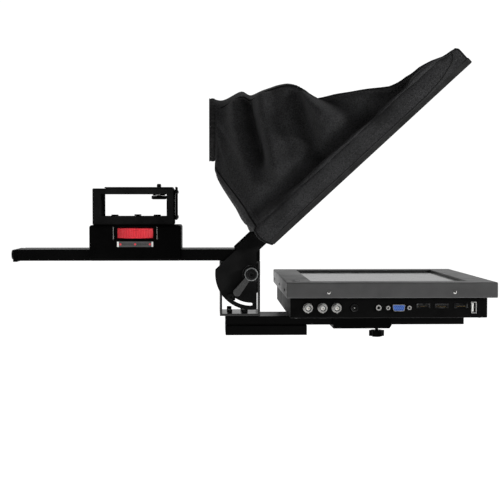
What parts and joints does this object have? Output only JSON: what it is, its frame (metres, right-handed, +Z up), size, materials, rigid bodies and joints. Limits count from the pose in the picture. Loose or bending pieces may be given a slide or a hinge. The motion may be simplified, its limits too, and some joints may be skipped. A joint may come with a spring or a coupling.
{
  "type": "teleprompter",
  "caption": "Rail-mounted teleprompter with a camera sled and riser, a tilting beam-splitter glass under a fabric hood, and a flat monitor that slides beneath it.",
  "frame": {"origin": "middle of the base block's underside, where the tripod head's plate seats", "axes": "+X along the rails toward the person who reads the screen, +Z up, and -Y toward the side with the monitor's connectors and the tilt lever"},
  "size_m": [0.5978, 0.3408, 0.3526],
  "materials": {
    "black_anodised": "satin",
    "black_paint": "matte",
    "bright_steel": "satin",
    "black_steel": "satin",
    "grey_plastic": "satin",
    "case_plastic": "matte",
    "red_plastic": "satin",
    "blue_plastic": "satin",
    "rubber": "matte",
    "nylon": "matte",
    "coated_glass": "gloss",
    "screen": "gloss",
    "circuit_board": "satin"
  },
  "bodies": {
    "frame": {"base_block": "black_anodised", "monitor_rail": "black_anodised", "upright_frame": "black_anodised", "upright_bolt_1": "black_steel", "upright_bolt_2": "black_steel", "upright_bolt_3": "black_steel", "upright_bolt_4": "black_steel", "pivot_block": "black_paint", "pivot_bolt": "black_steel", "guide_screw": "bright_steel", "camera_rail": "black_anodised", "rail_end_plate": "black_paint", "rail_end_screw": "black_steel"},
    "camera_sled": {"sled_body": "black_paint", "index_plate": "grey_plastic", "thumbwheel_axle": "bright_steel", "riser_frame": "black_paint", "riser_screw_1": "black_steel", "riser_screw_2": "black_steel", "riser_screw_3": "black_steel", "riser_front_plate": "black_paint", "camera_pad": "rubber"},
    "thumbwheel_body": {"thumbwheel": "red_plastic"},
    "clamp_shoe_body": {"clamp_shoe": "rubber"},
    "camera_screw_slider": {"camera_screw_washer": "bright_steel"},
    "camera_screw_body": {"camera_screw": "black_steel"},
    "hood": {"tilt_yoke": "black_paint", "tilt_washer": "bright_steel", "glass_frame": "black_paint", "beamsplitter_glass": "coated_glass", "glass_ledge": "black_paint", "hood_top_panel": "nylon", "hood_bottom_panel": "nylon", "hood_near_panel": "nylon", "hood_far_panel": "nylon", "hood_neck_sleeve": "nylon", "hood_neck_elastic": "rubber"},
    "tilt_lever_body": {"tilt_lever": "grey_plastic"},
    "monitor": {"monitor_bezel": "case_plastic", "screen_glass": "screen", "lcd_panel": "grey_plastic", "rear_case": "case_plastic", "main_board": "circuit_board", "bnc_jack_1": "bright_steel", "bnc_jack_2": "bright_steel", "bnc_jack_3": "bright_steel", "dc_jack": "black_steel", "audio_jack": "black_steel", "vga_port": "blue_plastic", "hdmi_port_1": "black_steel", "hdmi_port_2": "black_steel", "hdmi_port_3": "black_steel", "usb_port": "bright_steel", "vesa_plate": "black_paint", "monitor_carriage": "black_paint"},
    "clamp_knob": {"monitor_clamp_knob": "black_paint"},
    "clamp_knob_shoe": {"monitor_clamp_shoe": "rubber"},
    "power_button_body": {"power_button": "grey_plastic"}
  },
  "joints": [
    {"name": "camera_sled_slide", "type": "slide", "parent": "frame", "child": "camera_sled", "axis": [1, 0, 0], "range_m": [-0.085, 0.035]},
    {"name": "thumbwheel_turn", "type": "hinge", "parent": "camera_sled", "child": "thumbwheel_body", "pos_m": [-0.166, 0, 0.129], "axis": [0, 0, 1], "range_deg": [0, 270]},
    {"name": "clamp_shoe_lift", "type": "slide", "parent": "camera_sled", "child": "clamp_shoe_body", "axis": [0, 0, 1], "range_m": [0, 0.001]},
    {"name": "camera_screw_slide", "type": "slide", "parent": "camera_sled", "child": "camera_screw_slider", "axis": [1, 0, 0], "range_m": [-0.05, 0]},
    {"name": "camera_screw_turn", "type": "hinge", "parent": "camera_screw_slider", "child": "camera_screw_body", "pos_m": [-0.1375, 0, 0.175], "axis": [0, 0, 1], "continuous": true},
    {"name": "hood_tilt", "type": "hinge", "parent": "frame", "child": "hood", "pos_m": [-0.0196, 0, 0.0785], "axis": [0, 1, 0], "range_deg": [-3, 42]},
    {"name": "tilt_lever_turn", "type": "hinge", "parent": "frame", "child": "tilt_lever_body", "pos_m": [-0.0196, -0.0458, 0.0785], "axis": [0, 1, 0], "range_deg": [-40, 60]},
    {"name": "monitor_slide", "type": "slide", "parent": "frame", "child": "monitor", "axis": [1, 0, 0], "range_m": [-0.02, 0.08]},
    {"name": "monitor_clamp_turn", "type": "hinge", "parent": "monitor", "child": "clamp_knob", "pos_m": [0.146, 0, 0], "axis": [0, 0, 1], "range_deg": [0, 270]},
    {"name": "monitor_clamp_drop", "type": "slide", "parent": "monitor", "child": "clamp_knob_shoe", "axis": [0, 0, -1], "range_m": [0, 0.00055]},
    {"name": "power_button_press", "type": "slide", "parent": "monitor", "child": "power_button_body", "axis": [0, 0, -1], "range_m": [0, 0.0008], "stiffness_N_per_m": 300, "springref_m": -0.0005}
  ],
  "couplings": [
    {"joint": "clamp_shoe_lift", "follows": "thumbwheel_turn", "m_per_rad": 0.0002},
    {"joint": "monitor_clamp_drop", "follows": "monitor_clamp_turn", "m_per_rad": 0.00011}
  ]
}
